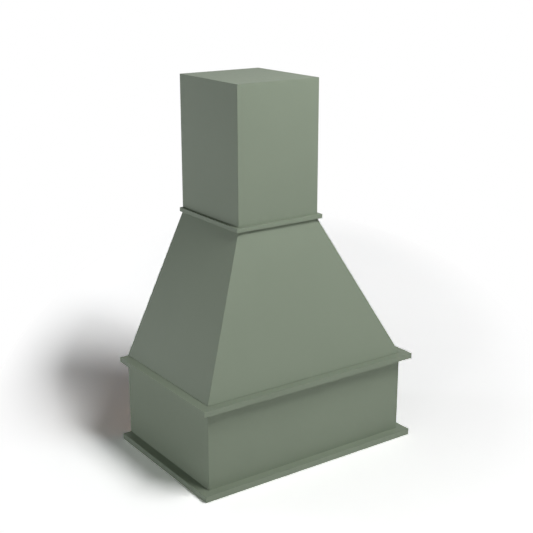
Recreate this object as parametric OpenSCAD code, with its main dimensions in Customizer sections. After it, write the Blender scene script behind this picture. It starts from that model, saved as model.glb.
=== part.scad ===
// A painted wooden range hood cover: base trim, apron box, shelf, tapered canopy, collar and chimney.
// It is built from mitred boards on inner cleats, and is open at the bottom and at the back.
// X runs across the cover, Y from its front to the wall, Z up. The origin is the middle of the
// floor plan of the whole cover, at the underside of the base trim.

/* [Apron] */
// Width across the apron box, which is the nominal width of the cover
apron_w = 762; // [740:1:1000]
// Depth of the apron box from the wall to its front face
apron_d = 504; // [460:1:560]
// Height of the apron box between the base trim and the shelf
apron_h = 261; // [230:1:320]

/* [Ledges] */
// Reach of the base trim and of the shelf past the faces of the apron
ledge_reach = 30; // [15:1:45]
// Thickness of the base trim boards
base_trim_h = 21; // [15:1:30]
// Thickness of the shelf boards
shelf_h = 18; // [15:1:25]
// Reach of the shelf boards past the canopy's foot cleats, inside the cover
shelf_margin = 10; // [0:1:20]

/* [Canopy] */
// Height of the tapered canopy from the shelf to the foot of the chimney
canopy_h = 466; // [420:1:600]

/* [Chimney] */
// Width of the chimney box
chimney_w = 308; // [280:1:330]
// Depth of the chimney box from the wall to its front face
chimney_d = 335; // [300:1:360]
// Height of the chimney box above the canopy
chimney_h = 454; // [300:1:700]
// Thickness of the panel that closes the top of the chimney
top_panel_t = 12; // [9:1:18]
// Width of the rebate that the top panel lies in
rebate_w = 9; // [6:1:12]
// Reach of the collar moulding past the faces of the chimney
collar_reach = 12; // [8:1:20]
// Height of the collar moulding
collar_h = 14; // [10:1:25]

/* [Boards] */
// Thickness of the apron, canopy and chimney boards, square to their faces
wall_t = 18; // [16:1:20]
// Thickness of the inner cleats and wall rails
cleat_t = 18; // [16:1:20]
// Height of the inner cleats
cleat_h = 38; // [30:1:45]
// Height of the wall rails
rail_h = 89; // [70:1:100]
// Height of the canopy's wall rail above the shelf
canopy_rail_rise = 180; // [100:1:200]
// Reach of the glue blocks from their corner to their diagonal face
block_reach = 24; // [16:1:28]

/* [Fixings] */
// Distance between the wall studs that the two wide rails are screwed to
stud_pitch = 406.4; // [380:0.1:410]
// Distance between the two wall holes in the chimney rail
chimney_hole_pitch = 152.4; // [100:0.1:200]
// Diameter of the wall screw holes
wall_hole_d = 7; // [5:0.5:9]
// Distance between the insert's pilot holes from front to back
insert_hole_pitch = 300; // [200:1:360]
// Diameter of the insert's pilot holes
insert_hole_d = 3; // [2:0.5:4]
// Depth of the insert's pilot holes
insert_hole_depth = 25; // [15:1:28]
// Length of the countersunk wood screws
screw_length = 50; // [45:1:52]
// Length of the shorter screws that hold the canopy down to the shelf
short_screw_length = 40; // [35:1:45]
// Diameter of the screw shanks
screw_d = 4; // [3:0.5:5]
// Diameter of the countersunk screw heads
screw_head_d = 8; // [7:0.5:9]

/* [Hidden] */
$fn = 32;

paint = [0.50, 0.55, 0.47];
timber = [0.80, 0.67, 0.47];
zinc = [0.78, 0.74, 0.60];

// Every depth is measured forward from the wall face
wall_y = (apron_d + ledge_reach) / 2;
function front_y(depth) = wall_y - depth;

// Levels of the stacked sections
apron_z = base_trim_h;
shelf_z = apron_z + apron_h;
canopy_z = shelf_z + shelf_h;
chimney_z = canopy_z + canopy_h;
cover_h = chimney_z + chimney_h;
top_panel_z = cover_h - top_panel_t;

// Faces of the straight boxes
apron_half = apron_w / 2;
chimney_half = chimney_w / 2;
apron_inside = apron_half - wall_t;
chimney_inside = chimney_half - wall_t;
apron_inner_front = front_y(apron_d) + wall_t;
chimney_inner_front = front_y(chimney_d) + wall_t;

// Lean of the canopy's faces away from upright, and the run of its sides and front for each
// millimetre of height
side_run = (apron_half - chimney_half) / canopy_h;
front_run = (apron_d - chimney_d) / canopy_h;
side_lean = atan(side_run);
front_lean = atan(front_run);

// Half width and front face of the canopy at height z, taken inset mm inside its outer faces
function canopy_half(z, inset) =
    chimney_half + (chimney_z - z) * side_run - inset / cos(side_lean);
function canopy_front_y(z, inset) =
    front_y(chimney_d) - (chimney_z - z) * front_run + inset / cos(front_lean);

// The left hip runs from the corner of the apron to the corner of the chimney. The compound mitre
// of the two leaning boards lies in the plane of this line and of the level line that joins the
// hip's outer edge to its inner edge.
hip_foot = [-canopy_half(canopy_z, 0), canopy_front_y(canopy_z, 0), canopy_z];
hip = [apron_half - chimney_half, apron_d - chimney_d, canopy_h];
hip_level = [wall_t / cos(side_lean), wall_t / cos(front_lean), 0];
hip_normal = cross(hip, hip_level);
mitre_turn = atan2(hip_normal[1], hip_normal[0]);
mitre_tilt = atan2(hip_normal[2], norm([hip_normal[0], hip_normal[1]]));
hip_turn = atan2(hip[1], hip[0]);
hip_lean = atan2(norm([hip[0], hip[1]]), hip[2]);
hip_inner_foot = hip_foot + hip_level;

// The shelf boards reach in under the canopy's foot cleats
shelf_inner_half = canopy_half(canopy_z, wall_t + cleat_t) - shelf_margin;
shelf_w = apron_half + ledge_reach - shelf_inner_half;

// Larger than the cover in every direction, for cutting solids
beyond = 2 * cover_h;

// Tip of a screw, sink of its head below the board's face and height of its countersunk cone
screw_tip = 6;
head_sink = 0.5;
head_h = (screw_head_d - screw_d) / 2;
// Distances of the screw rows from the outer faces that they run along. The canopy's row stands
// where the leaning foot cleats hold it from the shelf up to its tips.
cleat_screw_inset = wall_t + cleat_t / 2;
canopy_screw_inset = wall_t + cleat_t - 2;

// Plan of a three-sided ring of flat boards: half width, front face and board width
module front_board(half, front, board_w, z, h) {
    translate([0, 0, z])
        linear_extrude(h)
            polygon([
                [-half, front], [half, front],
                [half - board_w, front + board_w], [-half + board_w, front + board_w]
            ]);
}

module left_board(half, front, board_w, z, h) {
    translate([0, 0, z])
        linear_extrude(h)
            polygon([
                [-half, front], [-half + board_w, front + board_w],
                [-half + board_w, wall_y], [-half, wall_y]
            ]);
}

module right() {
    mirror([1, 0, 0]) children();
}

// Leaning slabs that follow the canopy's side and front, between two insets and two levels
module side_slab(inset_a, inset_b, z_a, z_b) {
    translate([0, wall_y, 0])
        rotate([90, 0, 0])
            linear_extrude(apron_d)
                polygon([
                    [-canopy_half(z_a, inset_a), z_a], [-canopy_half(z_a, inset_b), z_a],
                    [-canopy_half(z_b, inset_b), z_b], [-canopy_half(z_b, inset_a), z_b]
                ]);
}

module front_slab(inset_a, inset_b, z_a, z_b) {
    rotate([90, 0, 90])
        linear_extrude(apron_w, center = true)
            polygon([
                [canopy_front_y(z_a, inset_a), z_a], [canopy_front_y(z_a, inset_b), z_a],
                [canopy_front_y(z_b, inset_b), z_b], [canopy_front_y(z_b, inset_a), z_b]
            ]);
}

// Space between the two canopy sides, and behind the canopy front, at an inset
module between_sides(inset, z_a, z_b) {
    translate([0, wall_y, 0])
        rotate([90, 0, 0])
            linear_extrude(apron_d)
                polygon([
                    [-canopy_half(z_a, inset), z_a], [canopy_half(z_a, inset), z_a],
                    [canopy_half(z_b, inset), z_b], [-canopy_half(z_b, inset), z_b]
                ]);
}

module behind_front(inset, z_a, z_b) {
    rotate([90, 0, 90])
        linear_extrude(apron_w, center = true)
            polygon([
                [canopy_front_y(z_a, inset), z_a], [wall_y, z_a],
                [wall_y, z_b], [canopy_front_y(z_b, inset), z_b]
            ]);
}

// Everything on the side board's side of the left hip's mitre plane
module beyond_mitre() {
    translate(hip_foot)
        rotate([0, -mitre_tilt, mitre_turn])
            translate([0, -beyond, -beyond])
                cube([beyond, 2 * beyond, 2 * beyond]);
}

// Everything within block_reach of the left hip's inner edge, measured square to the hip
module near_hip() {
    translate(hip_inner_foot)
        rotate([0, hip_lean, hip_turn])
            cube([2 * block_reach, 2 * beyond, 2 * beyond], center = true);
}

// Countersunk wood screw that points up from the face that its head sits in
module screw(length) {
    translate([0, 0, head_sink])
        rotate_extrude()
            polygon([
                [0, 0], [screw_head_d / 2, 0], [screw_d / 2, head_h],
                [screw_d / 2, length - screw_tip], [0, length]
            ]);
}

// The same screw with the shallow well above its head
module screw_hole(length) {
    screw(length);
    translate([0, 0, -head_sink])
        cylinder(d = screw_head_d, h = 2 * head_sink);
}

// Plan places of screws along the front and the two sides of a ring: half width and front line
// of the screw row, then how many there are along the front and along each side
function ring_spots(half, front, front_count, side_count) = concat(
    [for (i = [1 : front_count]) [half * (2 * i - front_count - 1) / front_count, front]],
    [for (side = [-1, 1], i = [1 : side_count])
        [side * half, front + (wall_y - front) * i / (side_count + 1)]]
);

base_trim_spots = ring_spots(apron_half - wall_t / 2, front_y(apron_d) + wall_t / 2, 4, 3);
shelf_spots = ring_spots(
    apron_half - cleat_screw_inset, front_y(apron_d) + cleat_screw_inset, 4, 3);
canopy_spots = ring_spots(
    apron_half - canopy_screw_inset, front_y(apron_d) + canopy_screw_inset, 3, 2);
chimney_spots = ring_spots(
    chimney_half - cleat_screw_inset, front_y(chimney_d) + cleat_screw_inset, 2, 2);

// Places children at each spot of a row, at the given level
module at_spots(spots, z) {
    for (spot = spots)
        translate([spot[0], spot[1], z]) children();
}

module base_trim_holes() {
    at_spots(base_trim_spots, 0) screw_hole(screw_length);
}

module shelf_holes() {
    at_spots(shelf_spots, shelf_z - cleat_h) screw_hole(screw_length);
}

module canopy_holes() {
    at_spots(canopy_spots, shelf_z) screw_hole(short_screw_length);
}

module chimney_holes() {
    at_spots(chimney_spots, chimney_z + cleat_h) mirror([0, 0, 1]) screw_hole(screw_length);
}

// Base trim: flat mitred boards under the apron, flush with its inner faces
module base_trim_front_board() {
    front_board(apron_half + ledge_reach, front_y(apron_d + ledge_reach),
        ledge_reach + wall_t, 0, base_trim_h);
}

module base_trim_left_board() {
    left_board(apron_half + ledge_reach, front_y(apron_d + ledge_reach),
        ledge_reach + wall_t, 0, base_trim_h);
}

module base_trim_front() {
    color(paint)
        difference() {
            base_trim_front_board();
            base_trim_holes();
        }
}

module base_trim_left() {
    color(paint)
        difference() {
            base_trim_left_board();
            base_trim_holes();
        }
}

// Apron: an upright box with mitred front corners
module apron_front() {
    color(paint)
        difference() {
            front_board(apron_half, front_y(apron_d), wall_t, apron_z, apron_h);
            base_trim_holes();
        }
}

module apron_left() {
    color(paint)
        difference() {
            left_board(apron_half, front_y(apron_d), wall_t, apron_z, apron_h);
            base_trim_holes();
        }
}

// Shelf: flat mitred boards between the apron and the canopy
module shelf_front() {
    color(paint)
        difference() {
            front_board(apron_half + ledge_reach, front_y(apron_d + ledge_reach),
                shelf_w, shelf_z, shelf_h);
            shelf_holes();
            canopy_holes();
        }
}

module shelf_left() {
    color(paint)
        difference() {
            left_board(apron_half + ledge_reach, front_y(apron_d + ledge_reach),
                shelf_w, shelf_z, shelf_h);
            shelf_holes();
            canopy_holes();
        }
}

// Canopy: three leaning boards, compound-mitred along the hips and cut level top and bottom
module canopy_front() {
    color(paint)
        difference() {
            front_slab(0, wall_t, canopy_z, chimney_z);
            beyond_mitre();
            right() beyond_mitre();
        }
}

module canopy_left() {
    color(paint)
        intersection() {
            side_slab(0, wall_t, canopy_z, chimney_z);
            beyond_mitre();
        }
}

// Collar: mitred strips around the foot of the chimney
module collar_front() {
    color(paint)
        front_board(chimney_half + collar_reach, front_y(chimney_d + collar_reach),
            collar_reach, chimney_z, collar_h);
}

module collar_left() {
    color(paint)
        left_board(chimney_half + collar_reach, front_y(chimney_d + collar_reach),
            collar_reach, chimney_z, collar_h);
}

// Chimney: an upright box with mitred front corners, rebated at the top for its panel
module chimney_top() {
    half = chimney_inside + rebate_w;
    front = chimney_inner_front - rebate_w;
    color(paint)
        translate([-half, front, top_panel_z])
            cube([2 * half, wall_y - front, top_panel_t]);
}

module chimney_front() {
    color(paint)
        difference() {
            front_board(chimney_half, front_y(chimney_d), wall_t, chimney_z, chimney_h);
            chimney_top();
        }
}

module chimney_left() {
    color(paint)
        difference() {
            left_board(chimney_half, front_y(chimney_d), wall_t, chimney_z, chimney_h);
            chimney_top();
        }
}

// Cleats inside a straight box: the side ones run to a back line, the cross ones fit between them
module box_cleat_left(inside, front, back, z) {
    translate([-inside, front, z])
        cube([cleat_t, back - front, cleat_h]);
}

module box_cleat_cross(inside, front, z) {
    half = inside - cleat_t;
    translate([-half, front, z])
        cube([2 * half, cleat_t, cleat_h]);
}

// Insert battens: the flange of the hood insert is screwed up to their undersides, inside the
// recess that the base trim leaves below them
module insert_batten_left() {
    side = apron_inside - cleat_t / 2;
    middle_y = (apron_inner_front + wall_y) / 2;
    color(timber)
        difference() {
            box_cleat_left(apron_inside, apron_inner_front, wall_y, apron_z);
            for (end = [-1, 1])
                translate([-side, middle_y + end * insert_hole_pitch / 2, apron_z - 1])
                    cylinder(d = insert_hole_d, h = insert_hole_depth + 1);
        }
}

module insert_batten_front() {
    color(timber) box_cleat_cross(apron_inside, apron_inner_front, apron_z);
}

module insert_batten_back() {
    color(timber) box_cleat_cross(apron_inside, wall_y - cleat_t, apron_z);
}

// Apron cleats: along the top of the apron, screwed up into the shelf
module apron_cleat_left() {
    color(timber)
        difference() {
            box_cleat_left(apron_inside, apron_inner_front, wall_y - cleat_t, shelf_z - cleat_h);
            shelf_holes();
        }
}

module apron_cleat_front() {
    color(timber)
        difference() {
            box_cleat_cross(apron_inside, apron_inner_front, shelf_z - cleat_h);
            shelf_holes();
        }
}

// Canopy cleats: ripped to the lean of the boards that they are glued to
module canopy_side_cleat(z_a) {
    intersection() {
        side_slab(wall_t, wall_t + cleat_t, z_a, z_a + cleat_h);
        behind_front(wall_t, z_a, z_a + cleat_h);
    }
}

module canopy_cross_cleat(z_a) {
    intersection() {
        front_slab(wall_t, wall_t + cleat_t, z_a, z_a + cleat_h);
        between_sides(wall_t + cleat_t, z_a, z_a + cleat_h);
    }
}

module canopy_foot_cleat_left() {
    color(timber)
        difference() {
            canopy_side_cleat(canopy_z);
            canopy_holes();
        }
}

module canopy_foot_cleat_front() {
    color(timber)
        difference() {
            canopy_cross_cleat(canopy_z);
            canopy_holes();
        }
}

module canopy_head_cleat_left() {
    color(timber)
        difference() {
            canopy_side_cleat(chimney_z - cleat_h);
            chimney_holes();
        }
}

module canopy_head_cleat_front() {
    color(timber)
        difference() {
            canopy_cross_cleat(chimney_z - cleat_h);
            chimney_holes();
        }
}

module canopy_head_cleat_back() {
    color(timber)
        intersection() {
            between_sides(wall_t + cleat_t, chimney_z - cleat_h, chimney_z);
            translate([-beyond / 2, wall_y - cleat_t, chimney_z - cleat_h])
                cube([beyond, cleat_t, cleat_h]);
        }
}

// Chimney cleats: a frame inside the foot of the chimney, screwed down to the canopy's head cleats
module chimney_cleat_left() {
    color(timber)
        difference() {
            box_cleat_left(chimney_inside, chimney_inner_front, wall_y, chimney_z);
            chimney_holes();
        }
}

module chimney_cleat_front() {
    color(timber)
        difference() {
            box_cleat_cross(chimney_inside, chimney_inner_front, chimney_z);
            chimney_holes();
        }
}

module chimney_cleat_back() {
    color(timber) box_cleat_cross(chimney_inside, wall_y - cleat_t, chimney_z);
}

// Holes through a wall rail, a pair at equal distances from the middle
module wall_holes(pitch, z) {
    for (side = [-1, 1])
        translate([side * pitch / 2, wall_y - cleat_t - 1, z])
            rotate([-90, 0, 0])
                cylinder(d = wall_hole_d, h = cleat_t + 2);
}

// Wall rails: fixed between the sides at the back, and screwed through to the wall
module apron_wall_rail() {
    color(timber)
        difference() {
            translate([-apron_inside, wall_y - cleat_t, shelf_z - rail_h])
                cube([2 * apron_inside, cleat_t, rail_h]);
            wall_holes(stud_pitch, shelf_z - rail_h / 2);
        }
}

module canopy_wall_rail() {
    z_a = canopy_z + canopy_rail_rise;
    color(timber)
        difference() {
            intersection() {
                between_sides(wall_t, z_a, z_a + rail_h);
                translate([-beyond / 2, wall_y - cleat_t, z_a])
                    cube([beyond, cleat_t, rail_h]);
            }
            wall_holes(stud_pitch, z_a + rail_h / 2);
        }
}

module chimney_wall_rail() {
    color(timber)
        difference() {
            translate([-chimney_inside, wall_y - cleat_t, top_panel_z - rail_h])
                cube([2 * chimney_inside, cleat_t, rail_h]);
            wall_holes(chimney_hole_pitch, top_panel_z - rail_h / 2);
        }
}

// Glue blocks: three-cornered lengths behind the front corners and hips
module corner_block_left(inside, front, z_a, z_b) {
    leg = block_reach * sqrt(2);
    translate([-inside, front, z_a])
        linear_extrude(z_b - z_a)
            polygon([[0, 0], [leg, 0], [0, leg]]);
}

module apron_block_left() {
    color(timber)
        corner_block_left(apron_inside, apron_inner_front, apron_z + cleat_h, shelf_z - cleat_h);
}

module chimney_block_left() {
    color(timber)
        corner_block_left(chimney_inside, chimney_inner_front, chimney_z + cleat_h, top_panel_z);
}

module canopy_hip_block_left() {
    z_a = canopy_z + cleat_h;
    z_b = chimney_z - cleat_h;
    color(timber)
        intersection() {
            between_sides(wall_t, z_a, z_b);
            behind_front(wall_t, z_a, z_b);
            near_hip();
        }
}

// Screws: one row for each joint between the stacked sections
module base_trim_screws() {
    color(zinc) at_spots(base_trim_spots, 0) screw(screw_length);
}

module shelf_screws() {
    color(zinc) at_spots(shelf_spots, shelf_z - cleat_h) screw(screw_length);
}

module canopy_screws() {
    color(zinc) at_spots(canopy_spots, shelf_z) screw(short_screw_length);
}

module chimney_screws() {
    color(zinc)
        at_spots(chimney_spots, chimney_z + cleat_h) mirror([0, 0, 1]) screw(screw_length);
}

base_trim_front();
base_trim_left();
right() base_trim_left();  // base_trim_right
apron_front();
apron_left();
right() apron_left();  // apron_right
shelf_front();
shelf_left();
right() shelf_left();  // shelf_right
canopy_front();
canopy_left();
right() canopy_left();  // canopy_right
collar_front();
collar_left();
right() collar_left();  // collar_right
chimney_front();
chimney_left();
right() chimney_left();  // chimney_right
chimney_top();
insert_batten_front();
insert_batten_left();
right() insert_batten_left();  // insert_batten_right
insert_batten_back();
apron_cleat_front();
apron_cleat_left();
right() apron_cleat_left();  // apron_cleat_right
canopy_foot_cleat_front();
canopy_foot_cleat_left();
right() canopy_foot_cleat_left();  // canopy_foot_cleat_right
canopy_head_cleat_front();
canopy_head_cleat_left();
right() canopy_head_cleat_left();  // canopy_head_cleat_right
canopy_head_cleat_back();
chimney_cleat_front();
chimney_cleat_left();
right() chimney_cleat_left();  // chimney_cleat_right
chimney_cleat_back();
apron_wall_rail();
canopy_wall_rail();
chimney_wall_rail();
apron_block_left();
right() apron_block_left();  // apron_block_right
canopy_hip_block_left();
right() canopy_hip_block_left();  // canopy_hip_block_right
chimney_block_left();
right() chimney_block_left();  // chimney_block_right
base_trim_screws();
shelf_screws();
canopy_screws();
chimney_screws();
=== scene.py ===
import itertools
import math

import bmesh
import bpy
from mathutils import Matrix, Vector


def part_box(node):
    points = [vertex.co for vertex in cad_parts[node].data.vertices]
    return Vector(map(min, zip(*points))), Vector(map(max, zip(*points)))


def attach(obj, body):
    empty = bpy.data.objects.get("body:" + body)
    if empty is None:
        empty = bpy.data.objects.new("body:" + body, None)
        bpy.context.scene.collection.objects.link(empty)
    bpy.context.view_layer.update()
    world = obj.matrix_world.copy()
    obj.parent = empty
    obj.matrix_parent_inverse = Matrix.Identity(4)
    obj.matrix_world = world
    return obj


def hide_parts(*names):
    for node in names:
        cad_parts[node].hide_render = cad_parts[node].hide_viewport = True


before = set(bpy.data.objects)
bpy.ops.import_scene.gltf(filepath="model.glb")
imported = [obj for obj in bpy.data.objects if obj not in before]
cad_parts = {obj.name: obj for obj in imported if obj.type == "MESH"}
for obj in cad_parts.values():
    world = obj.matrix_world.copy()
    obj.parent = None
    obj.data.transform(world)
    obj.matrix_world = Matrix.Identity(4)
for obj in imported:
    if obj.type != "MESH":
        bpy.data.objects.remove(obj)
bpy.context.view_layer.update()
scene = bpy.context.scene

# Camera
# A long lens looks down a little at the cover from the left of its front. Its place was worked out
# from the edges and corners of the cover in the photograph, with the cover at its real size.
CAMERA_TARGET = Vector((0.0434, 0.0617, 0.5876))
CAMERA_DISTANCE = 3.5097
CAMERA_AZIMUTH = math.radians(-35.11)
CAMERA_ELEVATION = math.radians(16.95)
FOCAL_LENGTH_PX = 1049.4
PHOTO_SIDE_PX = 533
SENSOR_WIDTH = 36


def direction(azimuth, elevation):
    """Unit vector towards a place at that azimuth, with 0 in front of the cover and + to its right."""
    level = math.cos(elevation)
    return Vector((math.sin(azimuth) * level, -math.cos(azimuth) * level, math.sin(elevation)))


camera_lens = bpy.data.cameras.new("camera")
camera_lens.sensor_width = SENSOR_WIDTH
camera_lens.lens = FOCAL_LENGTH_PX / PHOTO_SIDE_PX * SENSOR_WIDTH
camera = bpy.data.objects.new("camera", camera_lens)
scene.collection.objects.link(camera)
towards_camera = direction(CAMERA_AZIMUTH, CAMERA_ELEVATION)
camera.location = CAMERA_TARGET + CAMERA_DISTANCE * towards_camera
camera.rotation_mode = "QUATERNION"
camera.rotation_quaternion = (-towards_camera).to_track_quat("-Z", "Y")
scene.camera = camera
scene.view_settings.view_transform = "Standard"

# Base trim
# Flat boards of solid poplar under the apron, mitred at the front corners and painted all over.
# The painter's sanding rounds their arrises a little, and the paint film follows the rounding.
SAGE = (0.247, 0.293, 0.221, 1)
SAGE_THIN = (0.237, 0.282, 0.212, 1)
SAGE_RUBBED = (0.33, 0.37, 0.30, 1)
DRIFT_SCALE = 2.4
RUB_SCALE = 38.0
RUB_SPAN = (0.5, 0.66)
MOST_RUBBED = 0.55
GLOSS_SCALE = 60.0
PAINT_ROUGHNESS = (0.55, 0.60)
PEEL_SCALE = 420.0
PAINTED_FIBRES = (9.0, 380.0, 380.0)
FIBRE_SHARE = 0.6
PAINT_RELIEF = 0.00011
PAINT_SHEEN = 0.25
PAINT_ARRIS = 0.0008
PAINT_FACETS = 3
NOISE_SPAN = (0.3, 0.7)
NOISE_MIDDLE = (0.35, 0.65)
MERGE_DISTANCE = 1e-5
ON_PLANE = 1e-6
FLAT_ANGLE = math.radians(0.5)
SHEET_STEP = 0.61

LEFT = Vector((-1, 0, 0))
RIGHT = Vector((1, 0, 0))
FRONT = Vector((0, -1, 0))
BACK = Vector((0, 1, 0))
DOWN = Vector((0, 0, -1))
UP = Vector((0, 0, 1))
SIDES = (("front", RIGHT), ("left", BACK), ("right", BACK))
UPRIGHT_ARRISES = [("front", "left"), ("front", "right"), ("left", "back"), ("right", "back")]
TOP_ARRISES = [("top", "left"), ("top", "right"), ("top", "front"), ("top", "back")]
BOTTOM_ARRISES = [("bottom", "left"), ("bottom", "right"), ("bottom", "front"), ("bottom", "back")]


def part(tree, kind, inputs=None, **settings):
    """Adds a shader node. Each input is either a plain value or the output that feeds it."""
    added = tree.nodes.new("ShaderNode" + kind)
    for name, value in settings.items():
        setattr(added, name, value)
    for name, value in (inputs or {}).items():
        if isinstance(value, bpy.types.NodeSocket):
            tree.links.new(value, added.inputs[name])
        else:
            added.inputs[name].default_value = value
    return added


def maths(tree, operation, *values):
    """The result of a piece of arithmetic on up to three values."""
    return part(tree, "Math", dict(enumerate(values)), operation=operation).outputs[0]


def mixed(tree, share, first, second):
    """A colour between two: the first where the share is 0, and the second where it is 1."""
    return part(tree, "MixRGB", {"Fac": share, "Color1": first, "Color2": second}).outputs["Color"]


def spread(tree, value, span, new_span):
    """Turns a value's usual span into a new one, and holds it inside that."""
    return part(tree, "MapRange", {
        "Value": value, "From Min": span[0], "From Max": span[1],
        "To Min": new_span[0], "To Max": new_span[1],
    }).outputs["Result"]


def clouds(tree, place, scale, detail=2.0):
    """Even, cloudy noise at a scale in features to the metre."""
    return part(tree, "TexNoise", {"Vector": place, "Scale": scale, "Detail": detail}).outputs["Fac"]


def on_board(tree):
    """Each point's place on its own board, as lay_grain wrote it."""
    return part(tree, "Attribute", attribute_name="board").outputs["Vector"]


def stretched(tree, place, scale):
    """A place scaled by its own number of features to the metre in each direction."""
    return part(tree, "Mapping", {"Vector": place, "Scale": scale}).outputs["Vector"]


def streaks(tree, board, scale, detail):
    """Noise on a board, with a scale of its own along the grain, across it and in depth."""
    return clouds(tree, stretched(tree, board, scale), 1.0, detail)


def new_finish(name):
    """A new material with an empty node tree."""
    finish = bpy.data.materials.new(name)
    finish.use_nodes = True
    finish.node_tree.nodes.clear()
    return finish, finish.node_tree


def surface(tree, colour, roughness, height, depth, **fixed):
    """The shader that closes a finish: depth is the height of its relief in metres."""
    bump = part(tree, "Bump", {"Height": height, "Distance": depth})
    shader = part(tree, "BsdfPrincipled", {
        "Base Color": colour, "Roughness": roughness, "Normal": bump.outputs["Normal"], **fixed,
    })
    part(tree, "OutputMaterial", {"Surface": shader.outputs["BSDF"]})


def paint_film(tree):
    """Colour, roughness and height of the sprayed matt paint, as three outputs."""
    place = part(tree, "TexCoord").outputs["Object"]
    arris = part(tree, "Attribute", attribute_name="arris").outputs["Fac"]
    drift = spread(tree, clouds(tree, place, DRIFT_SCALE), NOISE_MIDDLE, (0.0, 1.0))
    rub = spread(tree, clouds(tree, place, RUB_SCALE, 4.0), RUB_SPAN, (0.0, MOST_RUBBED))
    colour = mixed(tree, drift, SAGE_THIN, SAGE)
    colour = mixed(tree, maths(tree, "MULTIPLY", rub, arris), colour, SAGE_RUBBED)
    gloss = spread(tree, clouds(tree, place, GLOSS_SCALE, 4.0), NOISE_SPAN, PAINT_ROUGHNESS)
    peel = clouds(tree, place, PEEL_SCALE, 1.0)
    fibres = streaks(tree, on_board(tree), PAINTED_FIBRES, 3.0)
    return colour, gloss, maths(tree, "MULTIPLY_ADD", fibres, FIBRE_SHARE, peel)


def make_sage_paint():
    """The paint by itself, for every face that is painted all over."""
    finish, tree = new_finish("sage_paint")
    colour, gloss, relief = paint_film(tree)
    surface(tree, colour, gloss, relief, PAINT_RELIEF, **{"Specular IOR Level": PAINT_SHEEN})
    return finish


def merged_copy(node):
    """A CAD board as a bmesh, with its loose triangles merged into whole faces."""
    bm = bmesh.new()
    bm.from_mesh(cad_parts[node].data)
    bmesh.ops.remove_doubles(bm, verts=bm.verts, dist=MERGE_DISTANCE)
    bmesh.ops.dissolve_limit(bm, angle_limit=FLAT_ANGLE, verts=bm.verts, edges=bm.edges)
    bm.faces.layers.float.new("arris")
    return bm


def outer_faces(*nodes):
    """The six sides of the box round some CAD nodes, each as (normal, distance from the origin)."""
    corners = [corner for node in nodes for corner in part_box(node)]
    low = Vector(map(min, *corners))
    high = Vector(map(max, *corners))
    return {
        "left": (LEFT, -low.x), "right": (RIGHT, high.x),
        "front": (FRONT, -low.y), "back": (BACK, high.y),
        "bottom": (DOWN, -low.z), "top": (UP, high.z),
    }


def cut(bm, point, normal):
    """Planes away what lies beyond a plane, and returns the new faces there."""
    planed = bmesh.ops.bisect_plane(
        bm, geom=[*bm.verts, *bm.edges, *bm.faces], dist=ON_PLANE,
        plane_co=point, plane_no=normal, clear_outer=True)
    rim = [e for e in planed["geom_cut"] if isinstance(e, bmesh.types.BMEdge) and e.is_boundary]
    return bmesh.ops.holes_fill(bm, edges=rim)["faces"] if rim else []


def ease(bm, face_a, face_b, radius, facets):
    """Rounds the corner of two faces, each a (normal, distance), with facets that touch its arc."""
    (normal_a, far_a), (normal_b, far_b) = face_a, face_b
    cosine = normal_a.dot(normal_b)
    corner = (far_a - far_b * cosine) * normal_a + (far_b - far_a * cosine) * normal_b
    centre = corner / (1 - cosine ** 2) - radius * (normal_a + normal_b) / (1 + cosine)
    arris = bm.faces.layers.float["arris"]
    for i in range(facets):
        tangent = normal_a.slerp(normal_b, (i + 1) / (facets + 1))
        for face in cut(bm, centre + radius * tangent, tangent):
            face[arris] = 1.0
            face.smooth = True


def ease_board(board, faces, arrises, radius=PAINT_ARRIS):
    """Rounds a painted board wherever these pairs of outer faces meet on it."""
    for a, b in arrises:
        ease(board, faces[a], faces[b], radius, PAINT_FACETS)


boards_laid = itertools.count(1)


def lay_grain(bm, along, outward):
    """Writes each point's place on its own board: along the grain, across it, and depth.
    Each board starts at another place along the grain, so that no two look the same."""
    start = SHEET_STEP * next(boards_laid)
    board = bm.verts.layers.float_vector.new("board")
    across = outward.cross(along)
    surface_at = max(outward.dot(v.co) for v in bm.verts)
    for v in bm.verts:
        v[board] = (along.dot(v.co) + start, across.dot(v.co), surface_at - outward.dot(v.co))


def fit(name, bm, finishes, node):
    """Makes the finished piece and puts it in the place of its CAD node."""
    mesh = bpy.data.meshes.new(name)
    bm.to_mesh(mesh)
    bm.free()
    # The normals that came with the CAD mesh would hide the rounded arrises
    if "custom_normal" in mesh.attributes:
        mesh.attributes.remove(mesh.attributes["custom_normal"])
    for finish in finishes:
        mesh.materials.append(finish)
    piece = bpy.data.objects.new(name, mesh)
    scene.collection.objects.link(piece)
    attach(piece, "root")
    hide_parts(node)


sage_paint = make_sage_paint()
trim_faces = outer_faces("base_trim_front", "base_trim_left", "base_trim_right")
for side, along in SIDES:
    node = "base_trim_" + side
    trim = merged_copy(node)
    ease_board(trim, trim_faces, UPRIGHT_ARRISES + TOP_ARRISES + BOTTOM_ARRISES)
    lay_grain(trim, along, UP)
    fit(node + "_board", trim, [sage_paint], node)

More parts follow.
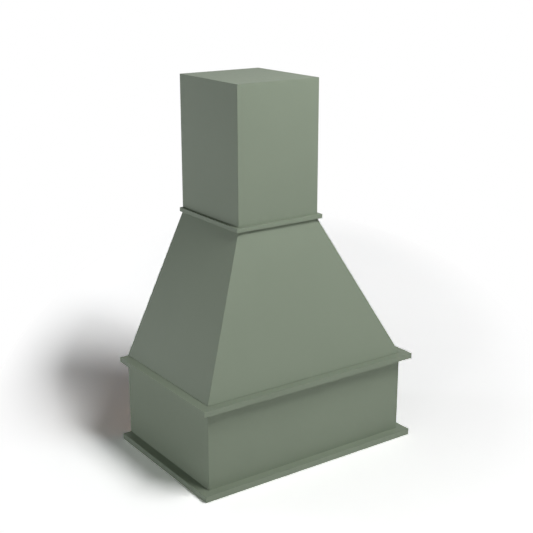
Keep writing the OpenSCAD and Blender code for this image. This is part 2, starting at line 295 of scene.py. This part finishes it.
# Apron
# Upright boards of birch plywood with mitred front corners, glued and screwed on the base trim.
# They are painted outside. Inside and on the back edges the veneers are bare, with some overspray.
VENEER_PALE = (0.66, 0.48, 0.29, 1)
VENEER_DEEP = (0.52, 0.34, 0.18, 1)
VENEER_LINE = (0.40, 0.25, 0.13, 1)
VENEER_SWEEP = (0.9, 6.5, 6.5)
VENEER_BANDS = 14.0
VENEER_TONES = (0.3, 1.5)
VENEER_PORES = (28.0, 900.0, 900.0)
PORE_SHARE = 0.7
VENEER_STREAKS = (2.2, 60.0, 60.0)
STREAK_SPAN = (0.6, 0.78)
MOST_STREAKED = 0.5
VENEER_ROUGHNESS = (0.6, 0.75)
VENEER_RELIEF = 0.00006
VENEER_THICKNESS = 0.00138
EDGE_LONG = (0.62, 0.45, 0.27, 1)
EDGE_END = (0.36, 0.23, 0.125, 1)
EDGE_GLUE = (0.16, 0.09, 0.05, 1)
GLUE_LINE = (0.02, 0.09)
GLUE_SHARE = 0.8
EDGE_ROUGHNESS = (0.75, 0.75, 0.75, 1)
EDGE_RELIEF = 0.0001
SAW_MARKS = (40.0, 700.0, 700.0)
SAW_SPAN = (0.35, 0.7)
SAW_SHARE = 0.35
VENEER_WANDER = (14.0, 14.0, 14.0)
WANDER_DEPTH = 0.0004
SPRAY_RAGS = (90.0, 90.0, 90.0)
SPRAY_REACH = 0.006
SPRAY_FADE = (-0.0005, 0.001)
SQUARE_ON = 0.9


def make_bare_veneer():
    """Rotary-cut birch: slow wandering bands, with fine pores and a few darker lines along them."""
    finish, tree = new_finish("bare_veneer")
    board = on_board(tree)
    sweep = streaks(tree, board, VENEER_SWEEP, 2.0)
    bands = maths(tree, "PINGPONG", maths(tree, "MULTIPLY", sweep, VENEER_BANDS), 1.0)
    pores = streaks(tree, board, VENEER_PORES, 3.0)
    tone = maths(tree, "MULTIPLY_ADD", pores, PORE_SHARE, bands)
    lines = streaks(tree, board, VENEER_STREAKS, 4.0)
    lines = spread(tree, lines, STREAK_SPAN, (0.0, MOST_STREAKED))
    colour = mixed(tree, spread(tree, tone, VENEER_TONES, (0.0, 1.0)), VENEER_PALE, VENEER_DEEP)
    colour = mixed(tree, lines, colour, VENEER_LINE)
    surface(tree, colour, spread(tree, pores, NOISE_SPAN, VENEER_ROUGHNESS), pores, VENEER_RELIEF)
    return finish


def make_ply_edge():
    """The edge of a board: thirteen veneers in 18 mm, every other one showing its end grain, with
    glue between them and a ragged band of overspray next to the painted face."""
    finish, tree = new_finish("ply_edge")
    board = on_board(tree)
    depth = part(tree, "SeparateXYZ", {"Vector": board}).outputs["Z"]
    saw = streaks(tree, board, SAW_MARKS, 3.0)
    wander = streaks(tree, board, VENEER_WANDER, 2.0)
    bent = maths(tree, "MULTIPLY_ADD", wander, WANDER_DEPTH, depth)
    count = maths(tree, "DIVIDE", bent, VENEER_THICKNESS)
    end_grain = maths(tree, "GREATER_THAN", maths(tree, "MODULO", count, 2.0), 1.0)
    near_glue = maths(tree, "PINGPONG", count, 0.5)
    colour = mixed(tree, end_grain, EDGE_LONG, EDGE_END)
    colour = mixed(tree, spread(tree, near_glue, GLUE_LINE, (GLUE_SHARE, 0.0)), colour, EDGE_GLUE)
    colour = mixed(tree, spread(tree, saw, SAW_SPAN, (0.0, SAW_SHARE)), colour, VENEER_PALE)
    paint, gloss, relief = paint_film(tree)
    ragged = streaks(tree, board, SPRAY_RAGS, 4.0)
    ragged = maths(tree, "MULTIPLY_ADD", ragged, -SPRAY_REACH, depth)
    spray = spread(tree, ragged, SPRAY_FADE, (1.0, 0.0))
    colour = mixed(tree, spray, colour, paint)
    surface(tree, colour, mixed(tree, spray, EDGE_ROUGHNESS, gloss), saw, EDGE_RELIEF)
    return finish


def share_out(bm, outward, painted):
    """Gives each face of a plywood board its finish: 0 is paint, 1 bare veneer, 2 bare edge."""
    arris = bm.faces.layers.float["arris"]
    for face in bm.faces:
        if face[arris] > 0 or painted(face):
            face.material_index = 0
        elif abs(face.normal.dot(outward)) > SQUARE_ON:
            face.material_index = 1
        else:
            face.material_index = 2


ply_finishes = [sage_paint, make_bare_veneer(), make_ply_edge()]
apron_faces = outer_faces("apron_front", "apron_left", "apron_right")
for side, along in SIDES:
    node = "apron_" + side
    outward = apron_faces[side][0]
    board = merged_copy(node)
    ease_board(board, apron_faces, UPRIGHT_ARRISES)
    lay_grain(board, along, outward)
    share_out(board, outward, lambda face: face.normal.dot(outward) > SQUARE_ON)
    fit(node + "_board", board, ply_finishes, node)

# Insert battens, cleats, rails and blocks of the apron
# Planed pine, glued and pinned inside the boards. The battens carry the hood insert's flange, the
# cleats are screwed up into the shelf, and the rail is screwed to the studs of the wall.
PINE_PALE = (0.72, 0.50, 0.27, 1)
PINE_RING = (0.50, 0.27, 0.10, 1)
PINE_KNOT = (0.17, 0.07, 0.03, 1)
PITH_ACROSS = 0.013
PITH_DEPTH = 0.034
TRUNK_BENDS = (2.2, 9.0, 9.0)
BEND_DEPTH = 0.014
KNOT_SPACING = (4.0, 11.0, 11.0)
KNOT_SWELL = (0.06, 0.3)
KNOT_EDGE = (0.05, 0.085)
KNOT_DEPTH = 0.01
KNOT_SHARE = 0.85
RING_PITCH = 0.0036
YEAR_SCALE = 90.0
YEAR_SPREAD = 0.009
EARLYWOOD = (0.1, 0.82)
LATEWOOD_END = (0.86, 1.0)
YEAR_DARKNESS = (0.4, 1.0)
PINE_FIBRES = (18.0, 700.0, 700.0)
PINE_FIBRE_SHARE = 0.35
PINE_TONES = (0.1, 1.2)
MOST_RINGED = 0.9
PINE_ROUGHNESS = (0.55, 0.7)
PINE_RELIEF = 0.00005
PINE_ARRIS = 0.0009
PINE_FACETS = 2
SHORTEST_ARRIS = 0.012
SHARP_CORNER = math.radians(20)


def make_pine():
    """Softwood as growth rings round a pith that lies outside the board, with a few knots. The rings
    bend with the trunk and round each knot, and no two years are as wide or as dark."""
    finish, tree = new_finish("pine")
    board = on_board(tree)
    bend = streaks(tree, board, TRUNK_BENDS, 2.0)
    from_knot = part(tree, "TexVoronoi", {
        "Vector": stretched(tree, board, KNOT_SPACING), "Scale": 1.0, "Randomness": 1.0,
    }).outputs["Distance"]
    place = part(tree, "SeparateXYZ", {"Vector": board}).outputs
    across = maths(tree, "ADD", place["Y"], PITH_ACROSS)
    deep = maths(tree, "ADD", place["Z"], PITH_DEPTH)
    square = maths(tree, "MULTIPLY_ADD", across, across, maths(tree, "MULTIPLY", deep, deep))
    radius = maths(tree, "MULTIPLY_ADD", bend, BEND_DEPTH, maths(tree, "SQRT", square))
    swell = spread(tree, from_knot, KNOT_SWELL, (1.0, 0.0))
    radius = maths(tree, "MULTIPLY_ADD", swell, KNOT_DEPTH, radius)
    years = part(tree, "TexNoise", {
        "W": radius, "Scale": YEAR_SCALE, "Detail": 2.0,
    }, noise_dimensions="1D").outputs["Fac"]
    radius = maths(tree, "MULTIPLY_ADD", years, YEAR_SPREAD, radius)
    ring = maths(tree, "FRACT", maths(tree, "DIVIDE", radius, RING_PITCH))
    latewood = maths(
        tree, "MULTIPLY", spread(tree, ring, EARLYWOOD, (0.0, 1.0)),
        spread(tree, ring, LATEWOOD_END, (1.0, 0.0)))
    darkness = spread(tree, years, NOISE_MIDDLE, YEAR_DARKNESS)
    fibres = streaks(tree, board, PINE_FIBRES, 3.0)
    tone = maths(tree, "MULTIPLY", latewood, darkness)
    tone = maths(tree, "MULTIPLY_ADD", fibres, PINE_FIBRE_SHARE, tone)
    colour = mixed(tree, spread(tree, tone, PINE_TONES, (0.0, MOST_RINGED)), PINE_PALE, PINE_RING)
    colour = mixed(tree, spread(tree, from_knot, KNOT_EDGE, (KNOT_SHARE, 0.0)), colour, PINE_KNOT)
    surface(tree, colour, spread(tree, fibres, NOISE_SPAN, PINE_ROUGHNESS), tone, PINE_RELIEF)
    return finish


def ease_long_arrises(bm):
    """Rounds every long outer corner of a pine piece. It planes right through the piece, which suits
    these, because none of them has a hollow side."""
    corners = []
    for edge in bm.edges:
        if len(edge.link_faces) == 2 and edge.calc_length() > SHORTEST_ARRIS:
            if edge.calc_face_angle_signed() > SHARP_CORNER:
                corners.append([(f.normal.copy(), f.normal.dot(edge.verts[0].co)) for f in edge.link_faces])
    for face_a, face_b in corners:
        ease(bm, face_a, face_b, PINE_ARRIS, PINE_FACETS)


def fit_timber(node, along, outward):
    """Makes a pine piece from its CAD node, with its grain along it."""
    timber = merged_copy(node)
    ease_long_arrises(timber)
    lay_grain(timber, along, outward)
    fit(node + "_timber", timber, [pine], node)


pine = make_pine()
fit_timber("insert_batten_front", RIGHT, BACK)
fit_timber("insert_batten_back", RIGHT, FRONT)
fit_timber("insert_batten_left", BACK, RIGHT)
fit_timber("insert_batten_right", BACK, LEFT)
fit_timber("apron_cleat_front", RIGHT, BACK)
fit_timber("apron_cleat_left", BACK, RIGHT)
fit_timber("apron_cleat_right", BACK, LEFT)
fit_timber("apron_wall_rail", RIGHT, FRONT)
fit_timber("apron_block_left", UP, BACK)
fit_timber("apron_block_right", UP, BACK)

# Shelf
# Flat plywood boards between apron and canopy, mitred at the front corners. They reach past both,
# and what reaches out is painted on all sides. Inside, a bare strip carries the canopy's cleats.
PAINT_LINE = 0.009

shelf_faces = outer_faces("shelf_front", "shelf_left", "shelf_right")
for side, along in SIDES:
    node = "shelf_" + side
    outward, apron_face = apron_faces[side]
    paint_stop = apron_face - PAINT_LINE
    shelf = merged_copy(node)
    ease_board(shelf, shelf_faces, UPRIGHT_ARRISES + TOP_ARRISES + BOTTOM_ARRISES)
    bmesh.ops.bisect_plane(
        shelf, geom=[*shelf.verts, *shelf.edges, *shelf.faces], dist=ON_PLANE,
        plane_co=outward * paint_stop, plane_no=outward)
    lay_grain(shelf, along, UP)
    share_out(shelf, UP, lambda face: (
        face.calc_center_median().dot(outward) > paint_stop and face.normal.dot(BACK) < SQUARE_ON))
    fit(node + "_board", shelf, ply_finishes, node)

# Canopy
# Three leaning plywood boards, compound-mitred along the hips and cut level at top and bottom. The
# hips are glued over blocks inside and sanded crisp. Eased feet leave a fine open line at the shelf.
FOOT_ARRIS = 0.0012
FOOT_ARRISES = [("front", "bottom"), ("left", "bottom"), ("right", "bottom")]

canopy_low, canopy_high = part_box("canopy_front")
chimney_faces = outer_faces("chimney_front", "chimney_left", "chimney_right")


def leaning_face(side):
    """Outer face of the canopy that runs from the apron's face to the chimney's on one side."""
    outward, foot = apron_faces[side]
    head = chimney_faces[side][1]
    normal = (outward + UP * (foot - head) / (canopy_high.z - canopy_low.z)).normalized()
    return normal, normal.dot(outward * foot + UP * canopy_low.z)


canopy_faces = {side: leaning_face(side) for side in ("front", "left", "right")}
canopy_faces["back"] = apron_faces["back"]
canopy_faces["bottom"] = (DOWN, -canopy_low.z)
for side in ("front", "left", "right"):
    node = "canopy_" + side
    outward = canopy_faces[side][0]
    board = merged_copy(node)
    ease_board(board, canopy_faces, UPRIGHT_ARRISES)
    ease_board(board, canopy_faces, FOOT_ARRISES, FOOT_ARRIS)
    lay_grain(board, (UP - outward * outward.z).normalized(), outward)
    share_out(board, outward, lambda face: face.normal.dot(outward) > SQUARE_ON)
    fit(node + "_board", board, ply_finishes, node)

# Cleats, rail and hip blocks of the canopy
# Pine, ripped to the lean of the boards it is glued to. The foot cleats stand on the shelf, the
# head cleats frame the top for the chimney, and the blocks stiffen the hips from inside.
for end in ("foot", "head"):
    fit_timber(f"canopy_{end}_cleat_front", RIGHT, -canopy_faces["front"][0])
    fit_timber(f"canopy_{end}_cleat_left", BACK, -canopy_faces["left"][0])
    fit_timber(f"canopy_{end}_cleat_right", BACK, -canopy_faces["right"][0])
fit_timber("canopy_head_cleat_back", RIGHT, FRONT)
fit_timber("canopy_wall_rail", RIGHT, FRONT)
for side in ("left", "right"):
    hip = canopy_faces["front"][0].cross(canopy_faces[side][0]).normalized()
    fit_timber(f"canopy_hip_block_{side}", hip * math.copysign(1, hip.z), BACK)

# Collar
# A small square moulding of solid poplar round the foot of the chimney, mitred at the front corners
# and pinned to the chimney. It is painted all over.
collar_faces = outer_faces("collar_front", "collar_left", "collar_right")
for side, along in SIDES:
    node = "collar_" + side
    collar = merged_copy(node)
    ease_board(collar, collar_faces, UPRIGHT_ARRISES + TOP_ARRISES + BOTTOM_ARRISES)
    lay_grain(collar, along, UP)
    fit(node + "_moulding", collar, [sage_paint], node)

# Chimney
# Upright plywood boards with mitred front corners, rebated at the top for the panel that closes the
# chimney. Outside they are painted, and the joint with the panel is filled and sanded flush.
TOP_SKIN = 0.0001

for side in ("front", "left", "right"):
    node = "chimney_" + side
    outward = chimney_faces[side][0]
    board = merged_copy(node)
    ease_board(board, chimney_faces, UPRIGHT_ARRISES + TOP_ARRISES)
    lay_grain(board, UP, outward)
    top = chimney_faces["top"][1] - TOP_SKIN
    share_out(board, outward, lambda face: (
        face.normal.dot(outward) > SQUARE_ON or face.calc_center_median().z > top))
    fit(node + "_board", board, ply_finishes, node)

panel = merged_copy("chimney_top")
ease_board(panel, chimney_faces, TOP_ARRISES)
lay_grain(panel, RIGHT, UP)
share_out(panel, UP, lambda face: face.normal.z > SQUARE_ON)
fit("chimney_top_panel", panel, ply_finishes, "chimney_top")

# Cleats, blocks and rail of the chimney
# Pine again: a frame in the foot that is screwed down to the canopy's head cleats, blocks behind
# the front corners, and a rail under the top panel for the two upper wall screws.
fit_timber("chimney_cleat_front", RIGHT, BACK)
fit_timber("chimney_cleat_back", RIGHT, FRONT)
fit_timber("chimney_cleat_left", BACK, RIGHT)
fit_timber("chimney_cleat_right", BACK, LEFT)
fit_timber("chimney_wall_rail", RIGHT, FRONT)
fit_timber("chimney_block_left", UP, BACK)
fit_timber("chimney_block_right", UP, BACK)

# Screws
# Countersunk wood screws with a six-lobed recess, of steel that is zinc plated and passivated yellow.
# Each row holds two stacked sections together, and its heads lie just below the face of the wood.
ZINC_BRIGHT = (0.83, 0.74, 0.50, 1)
ZINC_TINGED = (0.66, 0.55, 0.37, 1)
TINGE_SCALE = 420.0
TINGE_SPAN = (0.38, 0.62)
ZINC_RUB_SCALE = 5200.0
ZINC_ROUGHNESS = (0.26, 0.44)
ZINC_RELIEF = 0.000012
RECESS_RADIUS = 0.0017
RECESS_LOBES = 6
RECESS_LOBE = 0.12
RECESS_STEPS = 36
RECESS_DEPTH = 0.0016
HEAD_RADIUS = 0.0038
HEAD_RIM = 0.0002
CONE_END = 0.002
SHANK_RADIUS = 0.002
SHANK_END = 0.014
CORE_RADIUS = 0.0013
TIP_LENGTH = 0.006
TIP_RADIUS = CORE_RADIUS / 12
THREAD_PITCH = 0.002
THREAD_STEPS = 12
THREAD_ROOT = CORE_RADIUS * 0.9
THREAD_CREST = 0.22
THREAD_WIDTH = 0.44
SHARP_EDGE = math.radians(35)
NEXT_TURN = math.radians(137.5)


def make_zinc():
    """Bright passivated zinc, tinged more in some places than in others, with fine rub marks."""
    finish, tree = new_finish("yellow_zinc")
    place = part(tree, "TexCoord").outputs["Object"]
    tinge = spread(tree, clouds(tree, place, TINGE_SCALE, 3.0), TINGE_SPAN, (0.0, 1.0))
    rubs = clouds(tree, place, ZINC_RUB_SCALE, 2.0)
    surface(
        tree, mixed(tree, tinge, ZINC_BRIGHT, ZINC_TINGED), spread(tree, rubs, NOISE_SPAN, ZINC_ROUGHNESS),
        rubs, ZINC_RELIEF, Metallic=1.0)
    return finish


def turned_screw(length):
    """The recess, head, shank and core of a screw, drawn out ring by ring along Z from its head."""
    screw = bmesh.new()
    bmesh.ops.create_circle(screw, cap_ends=True, radius=RECESS_RADIUS, segments=RECESS_STEPS)
    for v in screw.verts:
        v.co *= 1 + RECESS_LOBE * math.cos(RECESS_LOBES * math.atan2(v.co.y, v.co.x))
        v.co.z = RECESS_DEPTH
    rim = list(screw.edges)
    for radius, level in (
        (None, 0.0), (HEAD_RADIUS - HEAD_RIM / 2, 0.0), (HEAD_RADIUS, HEAD_RIM), (SHANK_RADIUS, CONE_END),
        (SHANK_RADIUS, SHANK_END), (CORE_RADIUS, SHANK_END + CORE_RADIUS / 2),
        (CORE_RADIUS, length - TIP_LENGTH), (TIP_RADIUS, length),
    ):
        grown = bmesh.ops.extrude_edge_only(screw, edges=rim)["geom"]
        rim = [e for e in grown if isinstance(e, bmesh.types.BMEdge) and e.is_boundary]
        for v in {v for e in rim for v in e.verts}:
            flat = Vector((v.co.x, v.co.y, 0))
            v.co = (flat if radius is None else flat.normalized() * radius) + UP * level
    bmesh.ops.holes_fill(screw, edges=rim)
    return screw


def add_thread(screw, length):
    """Winds the thread round a screw's core as a ridge with three corners, and tapers the tip."""
    start = SHANK_END + THREAD_PITCH
    ridge = [screw.verts.new((radius, 0, start + level * THREAD_PITCH)) for radius, level in (
        (THREAD_ROOT, 0.0), (SHANK_RADIUS, THREAD_CREST), (THREAD_ROOT, THREAD_WIDTH))]
    ridge.append(screw.faces.new(ridge))
    steps = round((length - start - THREAD_PITCH / 2) / THREAD_PITCH * THREAD_STEPS)
    bmesh.ops.spin(
        screw, geom=ridge, axis=UP, dvec=UP * THREAD_PITCH / THREAD_STEPS,
        angle=math.tau * steps / THREAD_STEPS, steps=steps)
    for v in screw.verts:
        past = v.co.z - (length - TIP_LENGTH)
        if 0 < past < TIP_LENGTH - ON_PLANE:
            v.co.xy *= 1 - past / TIP_LENGTH


def add_screw(row, length, head, point, turn):
    """Adds a screw to its row, with the middle of its head at one place and its tip along point."""
    screw = turned_screw(length)
    add_thread(screw, length)
    bmesh.ops.recalc_face_normals(screw, faces=screw.faces)
    for face in screw.faces:
        face.smooth = True
    for edge in screw.edges:
        edge.smooth = edge.calc_face_angle() < SHARP_EDGE
    aim = Matrix.Rotation(math.pi if point == DOWN else 0, 4, "X")
    bmesh.ops.transform(screw, verts=screw.verts, matrix=(
        Matrix.Translation(head) @ aim @ Matrix.Rotation(turn, 4, "Z")))
    single = bpy.data.meshes.new("screw")
    screw.to_mesh(single)
    screw.free()
    row.from_mesh(single)
    bpy.data.meshes.remove(single)


yellow_zinc = make_zinc()
for node, point in (
    ("base_trim_screws", UP), ("shelf_screws", UP), ("canopy_screws", UP), ("chimney_screws", DOWN),
):
    low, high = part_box(node)
    plain_row = merged_copy(node)
    heads = [face.calc_center_bounds() for face in plain_row.faces if face.normal.dot(point) < -SQUARE_ON]
    plain_row.free()
    row = bmesh.new()
    for i, head in enumerate(heads):
        add_screw(row, high.z - low.z, head, point, NEXT_TURN * i)
    fit(node + "_zinc", row, [yellow_zinc], node)

# Floor and backdrop
# A plain pale studio floor with nothing on it, a little paler away from the pool of the lamps. It
# takes the cover's soft shadow, and outside an oval it turns to the plain white of the backdrop. From
# below it isn't there, and it stops no lamp, so that the open bottom can be looked into.
FLOOR_DROP = 0.0004
FLOOR_REACH = 40.0
FLOOR_PALE = (0.8, 0.8, 0.8, 1)
POOL_CENTRE = (0.22, -0.49, 0.0)
POOL_LEVEL = 1.55
POOL_FALL = 0.506
WHITE_CENTRE = (0.558, 0.707, 0.0)
WHITE_HALF_AXES = (1.1, 2.3, 1.0)
WHITE_FADE = (0.78, 1.02)
WHITE = (1, 1, 1, 1)


def looked_at(tree):
    """1 where the camera sees the surface, also in a reflection or through glass."""
    path = part(tree, "LightPath").outputs
    seen = maths(tree, "MAXIMUM", path["Is Camera Ray"], path["Is Glossy Ray"])
    return maths(tree, "MAXIMUM", seen, path["Is Transmission Ray"])


def blend(tree, share, first, second):
    """A shader between two: the first where the share is 0, and the second where it is 1."""
    return part(tree, "MixShader", {0: share, 1: first, 2: second}).outputs["Shader"]


floor_sheet = bmesh.new()
bmesh.ops.create_grid(floor_sheet, x_segments=1, y_segments=1, size=FLOOR_REACH)
bmesh.ops.translate(floor_sheet, verts=floor_sheet.verts, vec=(0, 0, -FLOOR_DROP))
floor_mesh = bpy.data.meshes.new("floor")
floor_sheet.to_mesh(floor_mesh)
floor_sheet.free()
floor = bpy.data.objects.new("floor", floor_mesh)
scene.collection.objects.link(floor)

floor_finish, tree = new_finish("floor")
place = part(tree, "TexCoord").outputs["Object"]
from_pool = part(tree, "VectorMath", {0: place, 1: POOL_CENTRE}, operation="SUBTRACT").outputs[0]
away = part(tree, "VectorMath", {0: from_pool, 1: from_pool}, operation="DOT_PRODUCT").outputs["Value"]
paler = maths(tree, "MULTIPLY_ADD", away, POOL_FALL, POOL_LEVEL)
oval = part(tree, "Mapping", {
    "Vector": place, "Location": WHITE_CENTRE, "Rotation": (0, 0, CAMERA_AZIMUTH), "Scale": WHITE_HALF_AXES,
}, vector_type="TEXTURE").outputs["Vector"]
outward = part(tree, "VectorMath", {0: oval}, operation="LENGTH").outputs["Value"]
shaded = part(tree, "BsdfDiffuse", {"Color": paler}).outputs["BSDF"]
white = part(tree, "Emission", {"Color": WHITE, "Strength": 1.0}).outputs["Emission"]
seen = blend(tree, spread(tree, outward, WHITE_FADE, (0.0, 1.0)), shaded, white)
plain = part(tree, "BsdfDiffuse", {"Color": FLOOR_PALE}).outputs["BSDF"]
above = blend(tree, looked_at(tree), plain, seen)
from_below = part(tree, "NewGeometry").outputs["Backfacing"]
see_through = maths(tree, "MAXIMUM", from_below, part(tree, "LightPath").outputs["Is Shadow Ray"])
nothing = part(tree, "BsdfTransparent").outputs["BSDF"]
part(tree, "OutputMaterial", {"Surface": blend(tree, see_through, above, nothing)})
floor_mesh.materials.append(floor_finish)

world = bpy.data.worlds.new("studio")
world.use_nodes = True
world.node_tree.nodes.clear()
scene.world = world
tree = world.node_tree
backdrop = part(tree, "Background", {"Color": WHITE, "Strength": looked_at(tree)})
part(tree, "OutputWorld", {"Surface": backdrop.outputs["Background"]})

# Lights
# A large soft key stands high in front, a little to the right, and a smaller one beside it draws the
# shadow's edge. Three weak fills stand low at the front, the left and behind the left side, and one
# lies under the floor for the inside.
LIGHT_TARGET = Vector((0, 0, 0.5))


def softbox(name, azimuth, elevation, distance, size, share, tint=(1.0, 1.0, 1.0)):
    """A round soft light aimed at the cover. Its share is the part of the plain level, at which a
    colour shows as it is written, that it gives to a surface that faces it."""
    lamp = bpy.data.lights.new(name, "AREA")
    lamp.shape = "DISK"
    lamp.size = size
    lamp.color = tint
    lamp.energy = share * math.pi ** 2 * distance ** 2
    light = bpy.data.objects.new(name, lamp)
    scene.collection.objects.link(light)
    towards = direction(math.radians(azimuth), math.radians(elevation))
    light.location = LIGHT_TARGET + distance * towards
    light.rotation_mode = "QUATERNION"
    light.rotation_quaternion = (-towards).to_track_quat("-Z", "Y")


softbox("key", azimuth=20, elevation=58, distance=2.8, size=1.4, share=0.588)
softbox("small_key", azimuth=5, elevation=46, distance=2.8, size=0.5, share=0.13)
softbox("front_fill", azimuth=20, elevation=1, distance=4.0, size=0.8, share=0.106)
softbox("left_fill", azimuth=-60, elevation=1, distance=4.0, size=0.8, share=0.157)
softbox("back_fill", azimuth=-140, elevation=1, distance=4.0, size=0.8, share=0.182, tint=(0.96, 1.0, 1.03))
softbox("under_fill", azimuth=20, elevation=-80, distance=4.0, size=2.4, share=0.12)
